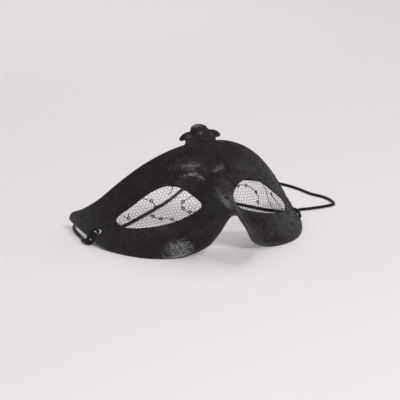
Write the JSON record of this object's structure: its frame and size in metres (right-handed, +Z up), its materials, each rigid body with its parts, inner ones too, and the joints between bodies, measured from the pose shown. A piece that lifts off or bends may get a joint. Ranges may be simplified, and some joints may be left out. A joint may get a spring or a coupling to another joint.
{
  "type": "masquerade mask",
  "caption": "Half mask of moulded black plastic covered with net lace, with a small moulded crest at the top and a round elastic cord knotted at the wings.",
  "frame": {"origin": "middle of the mask's outline on the table it lies on, without the elastic", "axes": "+Z up from the table, the face looks along -Y, X across from wing to wing"},
  "size_m": [0.2395, 0.2222, 0.0912],
  "materials": {
    "shell_plastic": "black moulded plastic, satin gloss",
    "net_lace": "black net lace, glued down",
    "elastic": "black braided round elastic"
  },
  "bodies": {
    "root": {"mask_shell": "shell_plastic", "lace_cover": "net_lace", "elastic_knot_left": "elastic", "elastic_cord": "elastic", "elastic_knot_right": "elastic", "elastic_tail": "elastic"}
  },
  "joints": []
}
